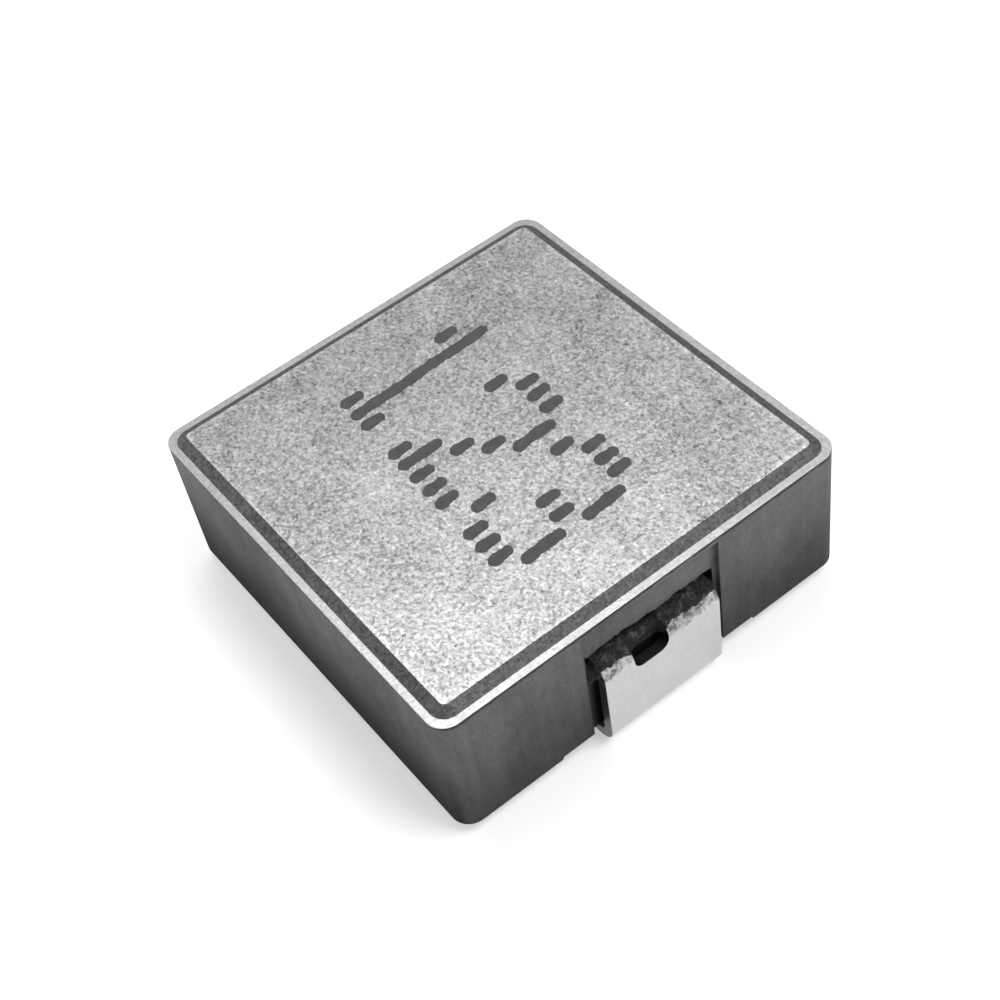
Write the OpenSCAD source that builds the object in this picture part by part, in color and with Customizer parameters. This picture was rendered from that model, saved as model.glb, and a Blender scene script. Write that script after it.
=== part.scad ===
// Shielded surface-mount power inductor.
// A core pressed from metal powder around a copper winding, with two flat
// tinned terminals folded down its ends and under its base.
// Millimetres. X runs from terminal to terminal, Z is up, and Z = 0 is the
// board that the terminals are soldered to.

/* [Core] */
// Length of the core, between its two terminal ends
core_l = 12.7; // [11.5:0.1:15]
// Width of the core
core_w = 12.6; // [11.5:0.1:15]
// Height of the plain side walls, from the lower land to the upper rim
side_h = 4.28; // [4:0.02:6]
// Radius of the four upright corners
corner_r = 0.55; // [0.45:0.05:1]

/* [Top face] */
// Flat rim that the die leaves round the top
rim_w = 0.21; // [0.1:0.01:0.4]
// Width of the sloped band inside the rim
bevel_w = 0.3; // [0.2:0.01:0.5]
// Rise of the top face above the rim
bevel_h = 0.17; // [0.1:0.01:0.3]
// Corner radius of the top face
face_r = 0.15; // [0.05:0.01:0.4]

/* [Underside] */
// Flat land round the underside
land_w = 0.5; // [0.3:0.02:0.8]
// Height of the raised feet, below the land
foot_h = 0.34; // [0.2:0.02:0.5]
// Sideways run of the feet's walls for each millimetre of height
foot_draft = 0.6; // [0.3:0.02:0.8]
// Corner radius of the feet, where they meet the land
foot_r = 0.4; // [0.35:0.01:0.8]
// Rounding of the feet's lower edges
foot_edge_r = 0.15; // [0.05:0.01:0.2]
// Width of the web that joins the feet, at the level of the land
web_w = 6.1; // [5:0.1:7]
// Width of the pockets over the terminals, at the level of the land
pocket_w = 6.45; // [5:0.05:7.5]
// Depth of the pockets beside the web, past the land
pocket_h = 0.23; // [0.1:0.01:0.4]
// Depth of the pockets at the core's ends
pocket_end_h = 0.09; // [0.02:0.01:0.4]

/* [Terminals] */
// Width of the terminal strip
lead_w = 3.7; // [3:0.1:4.5]
// Thickness of the terminal strip
lead_t = 0.3; // [0.2:0.01:0.4]
// Length of the solder pad, from the outer face to its free end
pad_l = 2.6; // [2:0.05:3.1]
// How far the solder pads stand out below the feet
pad_proud = 0.08; // [0.04:0.01:0.2]
// Height of the strip's lower face above the land, where it leaves the core
exit_h = 2.43; // [1.8:0.01:2.6]
// Gap between the folded strip and the core's end
lead_gap = 0.16; // [0.05:0.01:0.25]
// Inner radius of the lower bend
fold_r = 0.3; // [0.15:0.01:0.5]
// Length of the strip that the core grips
tail_l = 1.15; // [0.9:0.05:1.5]

/* [Terminal window] */
// Width of the window punched across the strip's upper bend
window_w = 1.1; // [0.8:0.05:1.6]
// Distance of the window from the middle of the strip
window_off = 0.36; // [0:0.02:0.8]
// Reach of the window down the outer face, from the top of the bend
window_drop = 0.74; // [0.6:0.02:1.2]
// Reach of the window into the flat tail
window_in = 0.35; // [0.1:0.05:0.45]
// Corner radius of the window
window_r = 0.3; // [0.1:0.02:0.4]

/* [Terminal exit] */
// Depth of the shallow relief in the core's end
relief_d = 0.15; // [0.1:0.01:0.3]
// Room that the relief leaves at each side of the strip
relief_side = 0.32; // [0.1:0.02:0.6]
// Wall left between the relief and the upper rim
relief_top = 0.2; // [0.1:0.02:0.4]
// Room that the open mouth leaves at each side of the strip
mouth_side = 0.2; // [0.02:0.02:0.6]
// Height of the open mouth above the strip
mouth_h = 0.42; // [0.2:0.02:0.7]
// Depth of the open mouth, in from the relief
mouth_d = 0.5; // [0.45:0.02:0.8]

/* [Winding] */
// Diameter of the round copper wire
wire_d = 0.85; // [0.6:0.01:0.95]
// Layers of wire, counted outwards
layers = 3; // [1:1:3]
// Turns of wire in each layer
rows = 3; // [1:1:3]
// Wall of the core between the winding and the terminals' tails
coil_wall = 0.22; // [0.15:0.01:0.6]
// Film of lacquer round the winding
film = 0.04; // [0.02:0.01:0.08]
// Width of the winding's flattened ends
end_w = 1; // [0.6:0.05:1.2]
// Thickness of the winding's flattened ends
end_t = 0.5; // [0.3:0.02:0.6]
// Distance of the flattened ends from the middle of the strip
end_off = 0.9; // [0:0.05:1.1]
// Length of each flattened end that is welded under its terminal
weld_l = 0.7; // [0.3:0.05:0.85]

/* [Hidden] */
$fn = 64;
eps = 0.01;
edge_steps = 5;

// Levels above the board.
z_foot = pad_proud;
z_land = z_foot + foot_h;
z_pocket = z_land + pocket_h;
z_lead = z_land + exit_h;
z_rim = z_land + side_h;
z_top = z_rim + bevel_h;

// Distances from the middle, towards a terminal.
x_relief = core_l/2 - relief_d;
x_inner = x_relief + lead_gap;
x_outer = x_inner + lead_t;
x_tail = x_relief - tail_l;
fold_outer = fold_r + lead_t;

relief_w = lead_w + 2*relief_side;
mouth_w = lead_w + 2*mouth_side;
sunk = foot_draft*pocket_h;

// The winding fills the core up to the wall beside the terminals' tails.
wire_pitch = wire_d - 0.03;
coil_r = x_tail - coil_wall - film;
coil_in = coil_r - wire_d - (layers - 1)*wire_pitch;
coil_h = wire_d + (rows - 1)*wire_pitch;
z_coil = (z_pocket + z_top)/2;

core();
winding();
terminal_a();
terminal_b();

// ---- shapes -------------------------------------------------------------

// Half of a drafted block's section: a wall that leans in by "draft" for each
// millimetre of height, and a rounding "edge" where it meets the top. Its
// points are whole ten-thousandths, so that the pieces of a block share them.
module wall_section(reach, h, draft, edge) {
    lean = atan(draft);
    zc = h - edge;
    inset = draft*zc + edge/cos(lean);
    function whole(v) = round(v*10000)/10000;
    rounding = [for (i = [0:edge_steps]) let (a = lean + i*(90 - lean)/edge_steps)
                [reach - whole(inset - edge*cos(a)), whole(zc + edge*sin(a))]];
    polygon(concat([[0, 0], [reach, 0]],
                   edge > 0 ? rounding : [[reach - draft*h, h]],
                   [[0, h]]));
}

// A block on Z = 0 with leaning walls, rounded corners and rounded top edges.
module drafted_block(l, w, h, corner, draft, edge) {
    module prism(across, along)
        rotate([90, 0, 0])
            linear_extrude(along, center = true)
                for (side = [0, 1])
                    mirror([side, 0]) wall_section(across/2, h, draft, edge);
    prism(l, w - 2*corner);
    rotate([0, 0, 90]) prism(w, l - 2*corner);
    for (sx = [-1, 1], sy = [-1, 1])
        translate([sx*(l/2 - corner), sy*(w/2 - corner), 0])
            rotate_extrude() wall_section(corner, h, draft, edge);
}

module rounded_plate(l, w, h, r) {
    linear_extrude(h) {
        square([l - 2*r, w], center = true);
        square([l, w - 2*r], center = true);
        for (sx = [-1, 1], sy = [-1, 1])
            translate([sx*(l/2 - r), sy*(w/2 - r)]) circle(r);
    }
}

// ---- core ---------------------------------------------------------------

// The two feet and the web between them, an H seen from below.
module feet() {
    foot_w = (core_w - pocket_w)/2 - land_w;
    h = z_pocket - z_foot;
    translate([0, 0, z_pocket]) mirror([0, 0, 1]) {
        for (sy = [-1, 1])
            translate([0, sy*(pocket_w + foot_w)/2, 0])
                drafted_block(core_l - 2*land_w + 2*sunk, foot_w + 2*sunk, h,
                              foot_r + sunk, foot_draft, foot_edge_r);
        rotate([90, 0, 0])
            linear_extrude(pocket_w + foot_w, center = true)
                for (side = [0, 1])
                    mirror([side, 0])
                        wall_section(web_w/2 + sunk, h, foot_draft, foot_edge_r);
    }
}

// Pocket over one terminal pad, open at the core's end. Its floor slopes from
// the web out to the end.
module pocket() {
    reach = core_l/2;
    start = web_w/2;
    translate([0, 0, z_land])
        intersection() {
            rotate([90, 0, 90])
                linear_extrude(reach)
                    polygon([[-pocket_w/2 - foot_draft, -1], [pocket_w/2 + foot_draft, -1],
                             [pocket_w/2 - sunk, pocket_h], [-pocket_w/2 + sunk, pocket_h]]);
            rotate([90, 0, 0])
                linear_extrude(core_w, center = true)
                    polygon([[0, -1], [reach, -1], [reach, pocket_end_h],
                             [start, pocket_h], [0, pocket_h]]);
        }
}

// Relief, mouth and grip of the terminal on the +X end.
module exit_cut() {
    translate([x_relief, -relief_w/2, 0])
        cube([core_l, relief_w, z_rim - relief_top]);
    translate([x_relief - mouth_d, -mouth_w/2, z_lead])
        cube([core_l, mouth_w, lead_t + mouth_h]);
    translate([x_tail, -lead_w/2, z_lead])
        cube([core_l, lead_w, lead_t]);
}

module core() {
    color([0.36, 0.36, 0.37])
    difference() {
        union() {
            difference() {
                translate([0, 0, z_land]) rounded_plate(core_l, core_w, side_h, corner_r);
                for (side = [0, 1]) mirror([side, 0, 0]) pocket();
            }
            translate([0, 0, z_rim])
                drafted_block(core_l - 2*rim_w, core_w - 2*rim_w, bevel_h,
                              face_r + bevel_w, bevel_w/bevel_h, 0);
            feet();
        }
        for (side = [0, 1]) mirror([side, 0, 0]) {
            exit_cut();
            winding_end(film);
        }
        translate([0, 0, z_coil - coil_h/2 - film])
            rotate_extrude()
                translate([coil_in - film, 0])
                    square([coil_r - coil_in + 2*film, coil_h + 2*film]);
    }
}

// ---- winding ------------------------------------------------------------

// Flattened end of the winding, welded under the terminal on the +X end.
module winding_end(grow = 0) {
    start = coil_r - wire_d;
    translate([start, end_off - end_w/2 - grow, z_lead - end_t - grow])
        cube([x_tail + weld_l - start + grow, end_w + 2*grow, end_t + grow]);
}

module winding() {
    color([0.78, 0.45, 0.25]) {
        translate([0, 0, z_coil - coil_h/2 + wire_d/2])
            rotate_extrude()
                translate([coil_in + wire_d/2, 0]) {
                    square([(layers - 1)*wire_pitch + eps, (rows - 1)*wire_pitch + eps]);
                    for (i = [0:layers - 1], j = [0:rows - 1])
                        translate([i, j]*wire_pitch) circle(d = wire_d);
                }
        for (side = [0, 1]) mirror([side, 0, 0]) winding_end();
    }
}

// ---- terminals ----------------------------------------------------------

// A quarter of a bend in the strip, from the +X direction round to +Z.
module bend(inner) {
    intersection() {
        difference() {
            circle(inner + lead_t);
            circle(inner);
        }
        square(inner + lead_t);
    }
}

// Side view of the strip: tail, upper bend, outer wall, lower bend and pad.
module strip_section() {
    z_up = z_lead - lead_gap;
    translate([x_tail, z_lead]) square([tail_l, lead_t]);
    translate([x_relief, z_up]) bend(lead_gap);
    translate([x_inner, fold_outer]) square([lead_t, z_up - fold_outer]);
    translate([x_inner - fold_r, fold_outer]) mirror([0, 1]) bend(fold_r);
    translate([x_outer - pad_l, 0]) square([pad_l - fold_outer, lead_t]);
}

// Window across the upper bend: one rounded outline through the outer wall
// and the same width on into the tail.
module window_cut() {
    h = window_drop + lead_t;
    translate([x_relief, 0, z_lead + lead_t - window_drop + h/2])
        rotate([90, 0, 90]) rounded_plate(window_w, h, core_l, window_r);
    reach = window_in + core_l;
    translate([x_relief - window_in + reach/2, 0, z_lead - lead_gap])
        rounded_plate(reach, window_w, core_l, window_r);
}

module terminal() {
    difference() {
        rotate([90, 0, 0]) linear_extrude(lead_w, center = true) strip_section();
        translate([0, -window_off, 0]) window_cut();
    }
}

module terminal_a() {
    color([0.82, 0.82, 0.83]) terminal();
}

module terminal_b() {
    color([0.82, 0.82, 0.83]) mirror([1, 0, 0]) terminal();
}
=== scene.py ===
"""Looks for a shielded surface-mount inductor: pressed powder core, tinned strip terminals.

Everything is in metres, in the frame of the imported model: X from terminal to
terminal, Z up, and Z = 0 where the solder pads stand.
"""
import math
import random

import bmesh
import bpy
from mathutils import Matrix, Vector, noise


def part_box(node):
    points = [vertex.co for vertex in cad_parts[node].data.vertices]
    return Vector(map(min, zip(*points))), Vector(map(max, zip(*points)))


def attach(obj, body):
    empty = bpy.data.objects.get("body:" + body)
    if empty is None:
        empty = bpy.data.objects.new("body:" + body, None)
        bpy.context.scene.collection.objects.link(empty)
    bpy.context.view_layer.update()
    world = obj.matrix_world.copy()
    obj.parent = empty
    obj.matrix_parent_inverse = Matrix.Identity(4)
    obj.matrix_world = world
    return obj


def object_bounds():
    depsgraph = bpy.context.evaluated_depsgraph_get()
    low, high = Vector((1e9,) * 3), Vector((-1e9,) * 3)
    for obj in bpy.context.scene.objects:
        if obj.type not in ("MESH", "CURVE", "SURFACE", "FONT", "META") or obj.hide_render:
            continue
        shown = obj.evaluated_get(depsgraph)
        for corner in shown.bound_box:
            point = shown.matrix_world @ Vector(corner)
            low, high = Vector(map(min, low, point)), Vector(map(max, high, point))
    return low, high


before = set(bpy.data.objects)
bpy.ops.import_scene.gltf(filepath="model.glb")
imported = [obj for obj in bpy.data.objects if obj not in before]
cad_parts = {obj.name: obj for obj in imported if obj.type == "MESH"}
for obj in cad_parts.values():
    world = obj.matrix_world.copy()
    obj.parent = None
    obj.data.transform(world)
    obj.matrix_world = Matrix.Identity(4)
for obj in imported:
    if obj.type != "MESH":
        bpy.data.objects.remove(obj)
CAD_LOW, CAD_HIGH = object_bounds()

MM = 0.001

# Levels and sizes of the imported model, in millimetres.
CORE_LOW, CORE_HIGH = (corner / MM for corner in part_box("core"))
LEAD_LOW, LEAD_HIGH = (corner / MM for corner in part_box("terminal_a"))
BEVEL_H = 0.17
FACE_INSET = 0.51
TOP_Z = CORE_HIGH.z
RIM_Z = TOP_Z - BEVEL_H
LEAD_TOP = LEAD_HIGH.z
RELIEF_X = CORE_HIGH.x - 0.15
MOUTH_D = 0.5
MOUTH_HALF = LEAD_HIGH.y + 0.2
MOUTH_TOP = LEAD_TOP + 0.42
RELIEF_HALF = LEAD_HIGH.y + 0.32
WINDOW = (-0.91, 0.19)
BEND_R = LEAD_HIGH.x - RELIEF_X

# The camera stands where the photographer did, and is aimed at the part.
CAMERA_AZIMUTH = 60.68
CAMERA_ELEVATION = 48.96
CAMERA_DISTANCE = 47.66 * MM
CAMERA_ROLL = -11.1
CAMERA_LENS = 64.0


# ---- node building --------------------------------------------------------

class Graph:
    """Short calls that build the nodes of one material."""

    def __init__(self, name):
        self.material = bpy.data.materials.new(name)
        self.material.use_nodes = True
        self.nodes = self.material.node_tree.nodes
        self.links = self.material.node_tree.links
        self.nodes.clear()

    def add(self, kind, inputs=None, **settings):
        node = self.nodes.new("ShaderNode" + kind)
        for key, value in settings.items():
            setattr(node, key, value)
        for key, value in (inputs or {}).items():
            self.feed(node.inputs[key], value)
        return node

    def feed(self, socket, value):
        if isinstance(value, bpy.types.NodeSocket):
            self.links.new(value, socket)
        else:
            socket.default_value = value

    def math(self, operation, *values):
        node = self.add("Math", operation=operation)
        for socket, value in zip(node.inputs, values):
            self.feed(socket, value)
        return node.outputs[0]

    def step(self, value, low, high):
        """0 below low, 1 above high, smooth between; low > high turns it round."""
        node = self.add("MapRange", {"Value": value}, interpolation_type="SMOOTHSTEP")
        falling = low > high
        node.inputs["From Min"].default_value = min(low, high)
        node.inputs["From Max"].default_value = max(low, high)
        node.inputs["To Min"].default_value = 1.0 if falling else 0.0
        node.inputs["To Max"].default_value = 0.0 if falling else 1.0
        return node.outputs["Result"]

    def mix(self, share, a, b):
        """a where share is 0, b where it is 1; numbers or number sockets."""
        node = self.add("Mix", data_type="FLOAT")
        for socket, value in zip(node.inputs[:1] + node.inputs[2:4], (share, a, b)):
            self.feed(socket, value)
        return node.outputs[0]

    def around(self, value, swing):
        """A 0 to 1 value turned into a change of half of swing either way."""
        return self.math("MULTIPLY", self.math("SUBTRACT", value, 0.5), swing)

    def within(self, value, low, high):
        return self.math("MULTIPLY", self.math("GREATER_THAN", value, low),
                         self.math("LESS_THAN", value, high))

    def place(self, stretch=(1, 1, 1)):
        """Object coordinates in millimetres, divided by stretch along each axis."""
        source = self.add("TexCoord").outputs["Object"]
        mapping = self.add("Mapping", {"Vector": source})
        mapping.inputs["Scale"].default_value = [1 / MM / s for s in stretch]
        return mapping.outputs["Vector"]

    def noise(self, where, size, detail=3.0, rough=0.55):
        """Soft noise from 0 to 1 whose blobs are about size millimetres across."""
        node = self.add("TexNoise", {"Vector": where, "Scale": 1 / size,
                                     "Detail": detail, "Roughness": rough})
        return node.outputs["Fac"]

    def grains(self, where, size):
        """One random grey for each powder grain of about size millimetres."""
        node = self.add("TexVoronoi", {"Vector": where, "Scale": 1 / size})
        return self.add("SeparateColor", {"Color": node.outputs["Color"]}).outputs[0]

    def axes(self, socket):
        return self.add("SeparateXYZ", {"Vector": socket}).outputs[:3]

    def bump(self, height, distance, normal=None, strength=1.0):
        node = self.add("Bump", {"Height": height, "Distance": distance,
                                 "Strength": strength})
        if normal is not None:
            self.feed(node.inputs["Normal"], normal)
        return node.outputs["Normal"]

    def surface(self, shader):
        out = self.add("OutputMaterial")
        self.links.new(shader, out.inputs["Surface"])
        return self.material


# ---- materials ------------------------------------------------------------

# Greys of the pressed powder's surfaces, before speckle, painted edge highlight and painted
# shade. The walls and bevels are darker than the flats partly by their own colour and
# partly as painted shade.
TOP_GREY, RIM_GREY, BEVEL_GREY, BASE_GREY, WALL_GREY = 0.285, 0.34, 0.07, 0.28, 0.16


def powder_material():
    """Pressed iron-alloy powder: pale granular flats and dark walls with the die's draw
    lines; the walls and bevels are darkened partly by painted shade.
    """
    g = Graph("pressed_powder")
    spot = g.place()
    x, y, z = g.axes(spot)
    facing = g.add("NewGeometry").outputs["True Normal"]
    nx, _, nz = g.axes(facing)
    from_end, from_side = g.math("ABSOLUTE", x), g.math("ABSOLUTE", y)
    in_relief = g.math("MULTIPLY", g.math("GREATER_THAN", from_end, RELIEF_X - 0.02),
                       g.math("LESS_THAN", from_side, RELIEF_HALF + 0.01))
    end_wall = g.math("MAXIMUM", in_relief, g.step(g.math("ABSOLUTE", nx), 0.5, 0.8))

    grain = g.grains(spot, 0.065)
    fine = g.noise(spot, 0.11, 3.0, 0.75)
    coarse = g.noise(spot, 0.5, 4.0, 0.6)
    blotch = g.noise(spot, 2.4, 3.0, 0.5)
    fleck = g.step(fine, 0.62, 0.74)
    pit = g.step(g.noise(spot, 0.2, 2.0, 0.6), 0.36, 0.27)

    # Pressed flats, speckled by their grains, with a painted highlight along their edges.
    tone = g.math("ADD", g.around(grain, 0.65), g.around(fine, 2.0))
    tone = g.math("ADD", tone, g.around(coarse, 0.25))
    tone = g.math("ADD", tone, g.around(blotch, 0.6))
    tone = g.math("ADD", tone, g.math("MULTIPLY", fleck, 0.3))
    tone = g.math("SUBTRACT", tone, g.math("MULTIPLY", pit, 0.35))
    speckle = g.math("MAXIMUM", g.math("ADD", tone, 1.0), 0.3)
    # Painted highlight: a lighter, ragged band along the edges of the pressed flats.
    inset = g.math("MINIMUM",
                   g.math("SUBTRACT", CORE_HIGH.x - FACE_INSET, from_end),
                   g.math("SUBTRACT", CORE_HIGH.y - FACE_INSET, from_side))
    painted_edge_highlight = g.math("ADD", inset, g.around(coarse, -0.5))
    painted_edge_highlight = g.step(painted_edge_highlight, 0.16, 0.0)
    speckle = g.math("ADD", speckle, g.math("MULTIPLY", painted_edge_highlight, 0.3))
    rim = g.math("ADD", 1.0, g.around(fine, 0.9))

    # Walls, with faint upright lines where the core slid out of the die, and painted shade
    # that darkens them towards the board.
    draw = g.noise(g.place((1, 1, 30)), 0.22, 3.0, 0.6)
    wall = g.math("ADD", g.around(draw, 0.4), g.around(fine, 0.7))
    wall = g.math("ADD", wall, g.around(coarse, 0.45))
    wall = g.math("ADD", wall, g.around(g.noise(g.place((1, 1, 2)), 1.8, 2.0, 0.5), 0.9))
    wall = g.math("MULTIPLY", WALL_GREY, g.math("ADD", 1.0, wall))
    # Painted shade: the walls darken towards the board, the end walls less.
    painted_low_shade = g.mix(end_wall, 0.18, 0.42)
    wall = g.math("MULTIPLY", wall, g.mix(g.step(z, 0.2, RIM_Z), painted_low_shade, 1.0))
    # Painted shade: a thin dark line just under the rim's edge, darker on the end walls.
    edge = g.math("ADD", z, g.math("ADD", g.around(coarse, 0.25), g.around(fine, 0.15)))
    painted_rim_shade = g.step(edge, RIM_Z - 0.13, RIM_Z - 0.06)
    wall = g.math("MULTIPLY", wall, g.mix(painted_rim_shade, 1.0, g.mix(end_wall, 0.85, 0.4)))
    # Painted shade: the relief's face beside each strip darkens towards the strip and below
    # its top.
    painted_strip_shade = g.math("MULTIPLY", g.within(from_end, RELIEF_X - 0.02, RELIEF_X + 0.02),
                     g.step(from_side, RELIEF_HALF, LEAD_HIGH.y))
    painted_strip_shade = g.math("MULTIPLY", painted_strip_shade, g.step(z, LEAD_TOP, LEAD_TOP - 0.4))
    wall = g.math("MULTIPLY", wall, g.mix(painted_strip_shade, 1.0, 0.12))

    flat_up = g.step(nz, 0.9, 0.97)
    flat_down = g.step(nz, -0.9, -0.97)
    slope = g.math("SUBTRACT", g.step(nz, 0.3, 0.6), flat_up)
    on_top = g.step(z, TOP_Z - 0.05, TOP_Z - 0.02)

    # Each facing gets its own grey: the bevels and walls are darker than the flats partly
    # as painted shade.
    flat = g.mix(on_top, g.math("MULTIPLY", RIM_GREY, rim),
                 g.math("MULTIPLY", TOP_GREY, speckle))
    shade = g.mix(flat_up, wall, flat)
    shade = g.mix(slope, shade, g.math("MULTIPLY", BEVEL_GREY, speckle))
    shade = g.mix(flat_down, shade, g.math("MULTIPLY", BASE_GREY, speckle))

    # The broken mouth round each terminal is dark and rough, partly by its own colour and
    # partly as painted shade inside it.
    in_mouth = g.within(from_end, RELIEF_X - MOUTH_D - 0.05, RELIEF_X - 0.02)
    in_mouth = g.math("MULTIPLY", in_mouth,
                      g.within(y, -MOUTH_HALF - 0.02, MOUTH_HALF + 0.02))
    in_mouth = g.math("MULTIPLY", in_mouth, g.within(z, LEAD_TOP - 0.35, MOUTH_TOP + 0.02))
    shade = g.mix(in_mouth, shade, g.math("MULTIPLY", 0.02, speckle))

    gloss = g.mix(flat_up, 0.5, g.math("ADD", 0.32, g.around(coarse, 0.3)))
    gloss = g.mix(in_mouth, gloss, 0.9)
    grit = g.math("ADD", fine, g.math("MULTIPLY", coarse, 0.8))
    rough_grit = g.math("MULTIPLY", grit, g.mix(flat_up, g.mix(in_mouth, 0.4, 6.0), 1.0))
    edges = g.add("Bevel", {"Radius": 0.04 * MM}).outputs["Normal"]
    normal = g.bump(rough_grit, 0.007 * MM, edges)
    normal = g.bump(draw, 0.004 * MM, normal, 0.6)

    shader = g.add("BsdfPrincipled", {"Base Color": shade, "Roughness": gloss,
                                      "Normal": normal, "Specular IOR Level": 0.0,
                                      "Specular Tint": (0.8, 0.8, 0.8, 1),
                                      "Metallic": g.mix(flat_up, 0.3, 0.8)})
    return g.surface(shader.outputs[0])


def tin_material():
    """Matt tin over flat copper strip, with the core's powder stuck round the exit, and
    painted shade in its window and on its bend.
    """
    g = Graph("tinned_copper")
    spot = g.place()
    x, y, z = g.axes(spot)
    facing = g.add("NewGeometry").outputs["True Normal"]
    ny = g.axes(facing)[1]

    cloud = g.noise(spot, 0.9, 4.0, 0.6)
    rolled = g.noise(g.place((6, 1, 6)), 0.12, 3.0, 0.6)
    mottle = g.noise(spot, 0.16, 3.0, 0.7)
    bright = g.math("ADD", g.mix(cloud, 0.49, 0.6), g.around(mottle, 0.12))
    cut_side = g.step(g.math("ABSOLUTE", ny), 0.6, 0.9)
    # Painted shade: across the width of its window, the strip is near black from inside the
    # core out to the bend.
    in_window = g.math("MULTIPLY", g.within(y, WINDOW[0] - 0.01, WINDOW[1] + 0.01),
                       g.within(g.math("ABSOLUTE", x), RELIEF_X - 1, LEAD_HIGH.x - 0.01))
    in_window = g.math("MULTIPLY", in_window, g.step(z, 2.2, 2.25))
    shade = g.mix(cut_side, bright, 0.2)
    shade = g.mix(in_window, shade, 0.05)

    ragged = g.math("ADD", g.noise(spot, 0.45, 4.0, 0.7), g.math("MULTIPLY", cloud, 0.4))
    edge = g.math("SUBTRACT", z, g.math("MULTIPLY", g.math("SUBTRACT", ragged, 0.7), 0.5))
    crust = g.step(edge, LEAD_TOP - 0.13, LEAD_TOP - 0.03)
    # A patchy darker band along the bend below the crust: partly duller tin and partly
    # painted shade of the bend's curve.
    torn = g.math("ADD", edge, g.around(g.noise(spot, 0.22, 3.0, 0.7), 0.5))
    dull_and_bend_shade = g.step(torn, LEAD_TOP - 0.44, LEAD_TOP - 0.3)
    patches = g.mix(g.step(mottle, 0.35, 0.65), 0.25, 0.9)
    shade = g.mix(dull_and_bend_shade, shade, g.math("MULTIPLY", shade, patches))
    shade = g.mix(crust, shade, g.mix(cloud, 0.012, 0.05))

    gloss = g.mix(crust, g.mix(rolled, 0.32, 0.48), 0.85)
    metal = g.mix(crust, 1.0, 0.0)
    height = g.math("ADD", g.math("MULTIPLY", rolled, 0.25),
                    g.math("MULTIPLY", crust, g.math("ADD", 0.8, ragged)))
    normal = g.bump(height, 0.02 * MM)
    shader = g.add("BsdfPrincipled", {"Base Color": shade, "Roughness": gloss,
                                      "Metallic": metal, "Normal": normal})
    return g.surface(shader.outputs[0])


def copper_material():
    """Enamelled copper wire."""
    g = Graph("copper_wire")
    spot = g.place()
    streak = g.noise(spot, 0.4, 3.0, 0.5)
    colour = g.add("Mix", data_type="RGBA")
    g.feed(colour.inputs[0], streak)
    colour.inputs[6].default_value = (0.42, 0.15, 0.05, 1)
    colour.inputs[7].default_value = (0.60, 0.26, 0.10, 1)
    shader = g.add("BsdfPrincipled", {"Base Color": colour.outputs[2], "Metallic": 0.9,
                                      "Roughness": g.mix(streak, 0.25, 0.4),
                                      "Coat Weight": 0.6})
    return g.surface(shader.outputs[0])


def ink_material():
    """Matt dark marking, a little thin over the grains."""
    g = Graph("marking_ink")
    spot = g.place()
    patch = g.noise(spot, 0.3, 4.0, 0.65)
    shader = g.add("BsdfPrincipled", {"Base Color": g.mix(patch, 0.02, 0.08),
                                      "Roughness": 0.6, "Specular IOR Level": 0.3,
                                      "Normal": g.bump(patch, 0.006 * MM)})
    return g.surface(shader.outputs[0])


def residue_material():
    """Burnt, crumbled powder left round the exit of each strip."""
    g = Graph("powder_residue")
    spot = g.place()
    grain = g.grains(spot, 0.07)
    lump = g.noise(spot, 0.22, 4.0, 0.65)
    shade = g.math("MULTIPLY", g.mix(g.step(lump, 0.48, 0.7), 0.012, 0.075),
                   g.mix(grain, 0.5, 1.5))
    shader = g.add("BsdfPrincipled", {"Base Color": shade, "Roughness": 0.75,
                                      "Specular IOR Level": 0.3,
                                      "Normal": g.bump(lump, 0.05 * MM)})
    return g.surface(shader.outputs[0])


def floor_material():
    """White for the eye and for reflections, grey as a source of bounced light,
    with the part's shadow on it. From below it is clear."""
    g = Graph("studio_floor")
    path = g.add("LightPath").outputs
    seen = g.math("MAXIMUM", path["Is Camera Ray"],
                  g.math("MAXIMUM", path["Is Glossy Ray"], path["Is Transmission Ray"]))
    paper = g.add("BsdfDiffuse", {"Color": (0.72, 0.72, 0.72, 1)}).outputs[0]
    glow = g.add("Emission", {"Color": (1, 1, 1, 1), "Strength": g.mix(seen, 0.0, 0.4)})
    lit = g.add("AddShader")
    g.links.new(paper, lit.inputs[0])
    g.links.new(glow.outputs[0], lit.inputs[1])
    away = g.add("VectorMath", {0: g.place()}, operation="LENGTH").outputs["Value"]
    far = g.math("MULTIPLY", seen, g.step(away, 14, 32))
    white = g.add("Emission", {"Color": (1, 1, 1, 1), "Strength": 1.0}).outputs[0]
    even = g.add("MixShader", {0: far, 1: lit.outputs[0], 2: white})
    under = g.add("NewGeometry").outputs["Backfacing"]
    both = g.add("MixShader", {0: under, 1: even.outputs[0],
                               2: g.add("BsdfTransparent").outputs[0]})
    return g.surface(both.outputs[0])


# ---- pieces ---------------------------------------------------------------

def mesh_piece(name, build, material):
    """A mesh object that build(bm) fills, in millimetres."""
    bm = bmesh.new()
    build(bm)
    bmesh.ops.scale(bm, vec=(MM, MM, MM), verts=bm.verts)
    bmesh.ops.recalc_face_normals(bm, faces=bm.faces)
    mesh = bpy.data.meshes.new(name)
    bm.to_mesh(mesh)
    bm.free()
    piece = bpy.data.objects.new(name, mesh)
    bpy.context.scene.collection.objects.link(piece)
    mesh.materials.append(material)
    return piece


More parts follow.
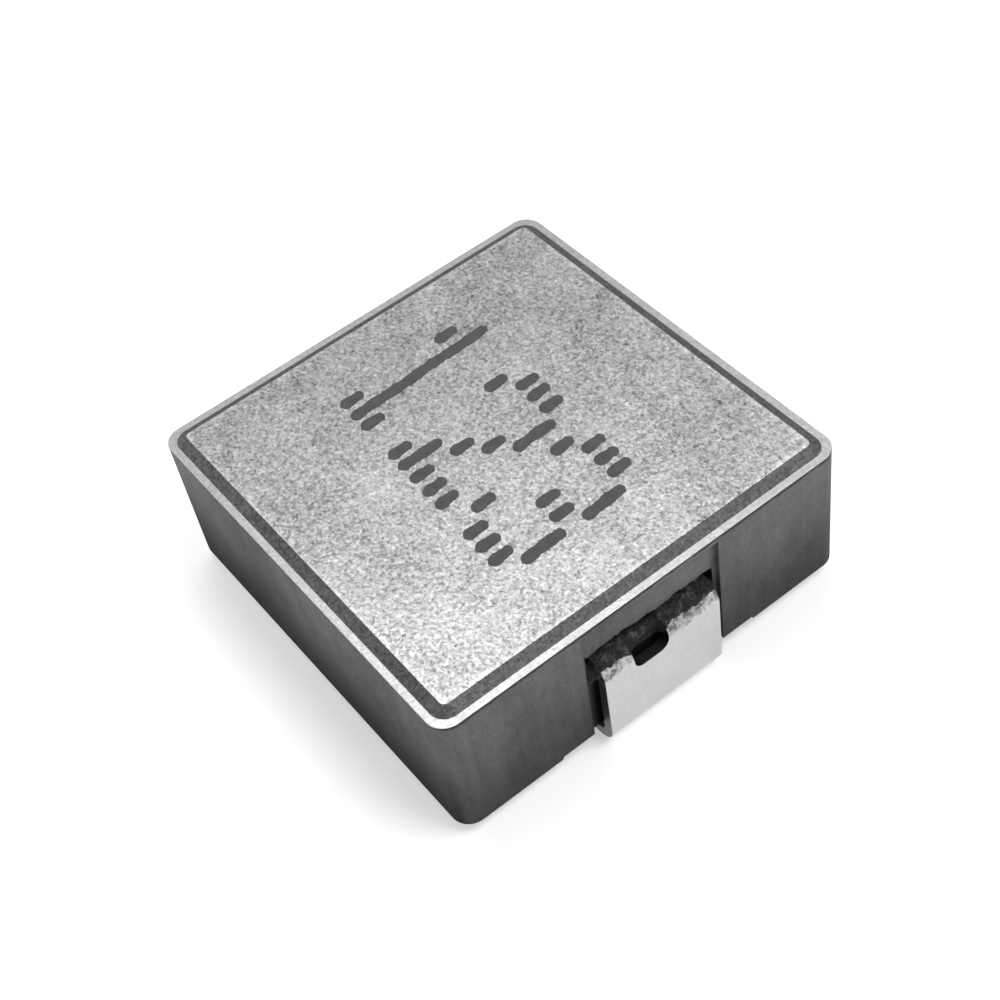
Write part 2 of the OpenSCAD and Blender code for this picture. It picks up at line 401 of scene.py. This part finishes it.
# Plain digits on a grid of dots, five columns by seven rows.
DIGITS = {
    "1": ("..#..", ".##..", "..#..", "..#..", "..#..", "..#..", ".###."),
    "2": (".###.", "#...#", "....#", "...#.", "..#..", ".#...", "#####"),
    "3": (".###.", "#...#", "....#", "..##.", "....#", "#...#", ".###."),
}
MARKING = "123"
DOT_W, DOT_L = 0.39, 0.76
COLUMN_PITCH, ROW_PITCH, DIGIT_PITCH = 0.55, 0.655, 2.95
MARKING_MIDDLE = (-0.3, 0.0)
INK_PROUD, INK_DEPTH = 0.004, 0.02


def strokes():
    """Each upright run of dots as (x, lower y, upper y) of its end dots' middles."""
    wide = (len(MARKING) - 1) * DIGIT_PITCH + 4 * COLUMN_PITCH
    left = MARKING_MIDDLE[0] - wide / 2
    for place, digit in enumerate(MARKING):
        rows = DIGITS[digit]
        for column in range(5):
            run = None
            for row in range(len(rows) + 1):
                inked = row < len(rows) and rows[row][column] == "#"
                if inked and run is None:
                    run = row
                if not inked and run is not None:
                    x = left + place * DIGIT_PITCH + column * COLUMN_PITCH
                    high = MARKING_MIDDLE[1] + (3 - run) * ROW_PITCH
                    low = MARKING_MIDDLE[1] + (3 - (row - 1)) * ROW_PITCH
                    yield x, low, high
                    run = None


def build_marking(bm):
    chance = random.Random(4)
    for x, low, high in strokes():
        low, high = low - DOT_L / 2, high + DOT_L / 2
        x += chance.uniform(-0.03, 0.03)
        cap = DOT_W / 2
        count = max(10, int((high - low) / 0.05))
        rails = []
        phase = chance.uniform(0, 6)
        for i in range(count + 1):
            y = low + (high - low) * i / count
            end = min(y - low, high - y)
            width = cap * math.sqrt(max(0.0, 1 - max(0.0, 1 - end / cap) ** 2))
            width *= 0.93 + 0.07 * math.cos(2 * math.pi * (y - low - cap) / ROW_PITCH)
            width = max(width, 0.02) + chance.uniform(-0.014, 0.014)
            sway = 0.015 * math.sin(3 * y + phase)
            rails.append((x + sway - width, x + sway + width, y))
        levels = (TOP_Z - INK_DEPTH, TOP_Z + INK_PROUD)
        rings = [[bm.verts.new((xx - 0.04 * y, y - 0.05 * xx, level))
                  for level in levels for xx in (a, b)] for a, b, y in rails]
        for one, two in zip(rings, rings[1:]):
            for a, b in ((0, 1), (1, 3), (3, 2), (2, 0)):
                bm.faces.new((one[a], one[b], two[b], two[a]))
        for ring in (rings[0], rings[-1]):
            bm.faces.new((ring[0], ring[1], ring[3], ring[2]))


# The powder round each exit, in millimetres. A section runs along s, from the
# mouth's back wall out over the strip.
CRUST_T = 0.045
CRUMB_PITCH = 0.022


def smooth(value, low, high):
    """0 below low, 1 above high, smooth between; low > high turns it round."""
    share = min(1.0, max(0.0, (value - low) / (high - low)))
    return share * share * (3 - 2 * share)


def rough(x, y, seed, size):
    """Repeatable noise of about -1 to 1 whose blobs are about size across."""
    return noise.fractal(Vector((x / size, y / size, seed)), 0.7, 2.1, 4)


def grid(bm, columns):
    """A closed skin through columns of points, each column a loop."""
    rings = [[bm.verts.new(point) for point in column] for column in columns]
    count = len(rings[0])
    for one, two in zip(rings, rings[1:]):
        for i in range(count):
            j = (i + 1) % count
            bm.faces.new((one[i], one[j], two[j], two[i]))
    bm.faces.new(rings[0])
    bm.faces.new(list(reversed(rings[-1])))


def spread(low, high, pitch):
    """Evenly spaced values from low to high, about pitch apart."""
    count = round((high - low) / pitch)
    return [low + (high - low) * i / count for i in range(count + 1)]


def on_strip(s, limit, lumps):
    """Section point of the crust on the strip, which thins out at its limit and
    ends below the tin."""
    turn = max(0.0, s - MOUTH_D) / BEND_R
    point = Vector((RELIEF_X + BEND_R * math.sin(turn),
                    LEAD_TOP - BEND_R * (1 - math.cos(turn))))
    if s < MOUTH_D:
        point.x = RELIEF_X - MOUTH_D + s
    thick = (CRUST_T + lumps) * smooth(s, limit, limit - 0.07)
    dip = 0.02 * smooth(s, limit - 0.02, limit + 0.03)
    return point + Vector((math.sin(turn), math.cos(turn))) * (thick - dip)


def off_strip(s, sunk, lumps):
    """Section point of the powder beside the strip or in its window, which comes
    out of the mouth and then hangs down the relief's face."""
    down = max(0.0, s - MOUTH_D + 0.06)
    x = min(RELIEF_X - MOUTH_D + s, RELIEF_X) + 0.035
    z = LEAD_TOP - sunk - down * 0.9
    return Vector((x + lumps * smooth(down, 0, 0.1), z + lumps * smooth(down, 0.15, 0)))


def residue(side, seed):
    """Crumbled powder lying on the strip, in its window and beside it, from the
    mouth's back wall out and round the bend to a ragged limit."""
    reach = MOUTH_D + BEND_R * math.radians(64)

    def build(bm):
        columns = []
        for y in spread(-MOUTH_HALF + 0.01, MOUTH_HALF - 0.01, CRUMB_PITCH):
            beside = smooth(abs(y), LEAD_HIGH.y - 0.01, LEAD_HIGH.y + 0.04)
            in_window = min(smooth(y, WINDOW[0] - 0.02, WINDOW[0] + 0.08),
                            smooth(y, WINDOW[1] + 0.02, WINDOW[1] - 0.08))
            off = max(beside, in_window)
            limit = MOUTH_D + BEND_R * math.radians(43 + 13 * rough(y, 0, seed, 0.5))
            limit += 0.16 * max(0.0, 1 - min(abs(y - edge) for edge in WINDOW) / 0.22)
            top = []
            for s in spread(0.0, reach, CRUMB_PITCH):
                lumps = 0.045 * rough(s, y, seed + 5, 0.35)
                lumps += 0.025 * rough(s, y, seed + 9, 0.1)
                hanging = off_strip(s, 0.16 * beside + 0.03, lumps)
                top.append(on_strip(s, limit, lumps).lerp(hanging, off))
            low = []
            for point in top:
                buried = Vector((min(point.x, RELIEF_X) - 0.02, LEAD_TOP - 0.27))
                low.append(buried.lerp(point - Vector((0.04, 0.05)), 1 - off))
            columns.append([(side * point.x, y, point.y) for point in top + low[::-1]])
        grid(bm, columns)

    return build


def mouth_edge(side, seed):
    """Broken powder along the top of the mouth, flush with the relief's face."""
    front, start = RELIEF_X + 0.003, MOUTH_TOP + 0.02

    def build(bm):
        columns = []
        for y in spread(-MOUTH_HALF + 0.005, MOUTH_HALF - 0.005, CRUMB_PITCH):
            edge = MOUTH_TOP - 0.07 + 0.1 * rough(y, 1, seed, 0.7)
            edge += 0.03 * rough(y, 3, seed, 0.12)
            edge = min(max(edge, MOUTH_TOP - 0.22), MOUTH_TOP - 0.005)
            ring = [(RELIEF_X - 0.02, start + 0.01), (front, start)]
            for t in spread(0.0, 1.0, 0.25):
                ring.append((front - 0.01 * t * t, start + (edge - start) * t))
            for depth in spread(0.03, MOUTH_D - 0.02, 0.03):
                lift = (start - edge) * smooth(depth, 0.05, MOUTH_D)
                crumbs = 0.035 * rough(depth, y, seed + 3, 0.16)
                ring.append((RELIEF_X - depth, edge + lift + crumbs))
            ring.append((RELIEF_X - MOUTH_D + 0.02, start + 0.01))
            columns.append([(side * x, y, z) for x, z in ring])
        grid(bm, columns)

    return build


# ---- studio ---------------------------------------------------------------

def direction(azimuth, elevation):
    """Unit vector from the part towards a place seen at that azimuth and height."""
    a, e = math.radians(azimuth), math.radians(elevation)
    return Vector((math.sin(a) * math.cos(e), -math.cos(a) * math.cos(e), math.sin(e)))


def softbox(name, azimuth, elevation, distance, size, level):
    """Square light that shows a white surface facing it at about that level."""
    light = bpy.data.lights.new(name, "AREA")
    light.size = size
    light.energy = level * (math.pi * distance) ** 2
    lamp = bpy.data.objects.new(name, light)
    back = direction(azimuth, elevation)
    lamp.location = back * distance
    lamp.rotation_euler = back.to_track_quat("Z", "Y").to_euler()
    bpy.context.scene.collection.objects.link(lamp)


def build_world():
    world = bpy.data.worlds.new("studio")
    bpy.context.scene.world = world
    world.use_nodes = True
    nodes, links = world.node_tree.nodes, world.node_tree.links
    background = nodes["Background"]
    background.inputs["Color"].default_value = (1, 1, 1, 1)
    path = nodes.new("ShaderNodeLightPath").outputs
    seen = None
    for ray in ("Is Camera Ray", "Is Glossy Ray", "Is Transmission Ray"):
        if seen is None:
            seen = path[ray]
            continue
        most = nodes.new("ShaderNodeMath")
        most.operation = "MAXIMUM"
        links.new(seen, most.inputs[0])
        links.new(path[ray], most.inputs[1])
        seen = most.outputs[0]
    level = nodes.new("ShaderNodeMapRange")
    links.new(seen, level.inputs["Value"])
    level.inputs["To Min"].default_value = 0.45
    level.inputs["To Max"].default_value = 1.0
    links.new(level.outputs["Result"], background.inputs["Strength"])


def build_floor():
    half = 2.0 / MM

    def plane(bm):
        bm.faces.new([bm.verts.new((sx * half, sy * half, 0))
                      for sx, sy in ((-1, -1), (1, -1), (1, 1), (-1, 1))])

    floor = mesh_piece("floor", plane, floor_material())


def build_camera():
    camera = bpy.data.objects.new("camera", bpy.data.cameras.new("camera"))
    bpy.context.scene.collection.objects.link(camera)
    middle = (CAD_LOW + CAD_HIGH) / 2
    back = direction(CAMERA_AZIMUTH, CAMERA_ELEVATION)
    camera.location = middle + back * CAMERA_DISTANCE
    turn = back.to_track_quat("Z", "Y").to_matrix() @ Matrix.Rotation(
        math.radians(CAMERA_ROLL), 3, "Z")
    camera.rotation_euler = turn.to_euler()
    camera.data.lens = CAMERA_LENS
    camera.data.sensor_width = 36.0
    camera.data.clip_start = 1 * MM
    camera.data.clip_end = 10.0
    bpy.context.scene.camera = camera


def dress(node, material):
    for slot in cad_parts[node].material_slots:
        slot.material = material


def main():
    tin = tin_material()
    powder = powder_material()
    dress("core", powder)
    dress("winding", copper_material())
    dress("terminal_a", tin)
    dress("terminal_b", tin)
    marking = mesh_piece("marking", build_marking, ink_material())
    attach(marking, "root")
    crumbs = residue_material()
    for name, side, seed in (("a", 1, 11.3), ("b", -1, 47.7)):
        for piece in (mesh_piece("residue_" + name, residue(side, seed), crumbs),
                      mesh_piece("mouth_edge_" + name, mouth_edge(side, seed), powder)):
            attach(piece, "root")

    build_camera()
    build_world()
    build_floor()
    softbox("key", CAMERA_AZIMUTH + 180, 70, 0.16, 0.07, 0.35)
    softbox("side", 132, 61, 0.25, 0.12, 0.55)
    softbox("fill", -60, 20, 0.04, 0.02, 0.2)
    bpy.context.scene.view_settings.view_transform = "Standard"


main()
